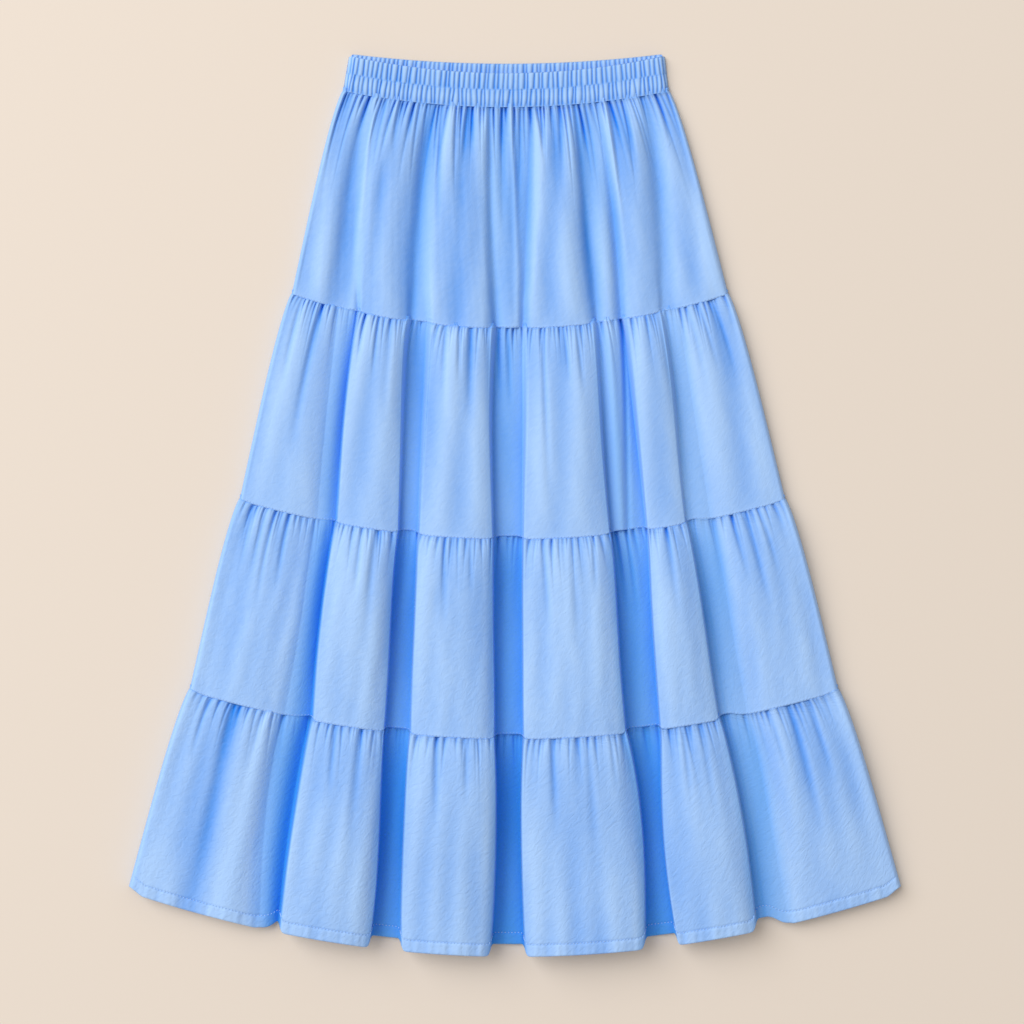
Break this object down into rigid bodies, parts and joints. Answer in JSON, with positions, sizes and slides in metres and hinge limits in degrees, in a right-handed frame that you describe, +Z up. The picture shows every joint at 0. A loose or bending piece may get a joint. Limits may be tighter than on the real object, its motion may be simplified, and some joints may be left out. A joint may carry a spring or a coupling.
{
  "type": "tiered maxi skirt",
  "caption": "Long skirt of gathered cotton tiers with a ribbed elastic waistband, laid flat on its back with its large folds standing up from waist to hem.",
  "frame": {"origin": "on the surface that the skirt lies on, under the centre of its bounding box", "axes": "+X to the right of the front as seen from above, +Y from the hem to the waist, +Z up from the surface"},
  "size_m": [0.8338, 0.965, 0.0395],
  "materials": {
    "waistband": "matt washed cotton over elastic, light blue",
    "cotton": "matt washed cotton, light blue"
  },
  "bodies": {
    "root": {"waistband_front": "waistband", "waistband_back": "waistband", "tier1_front": "cotton", "tier1_back": "cotton", "tier2_front": "cotton", "tier2_back": "cotton", "tier3_front": "cotton", "tier3_back": "cotton", "tier4_front": "cotton", "tier4_back": "cotton"}
  },
  "joints": []
}
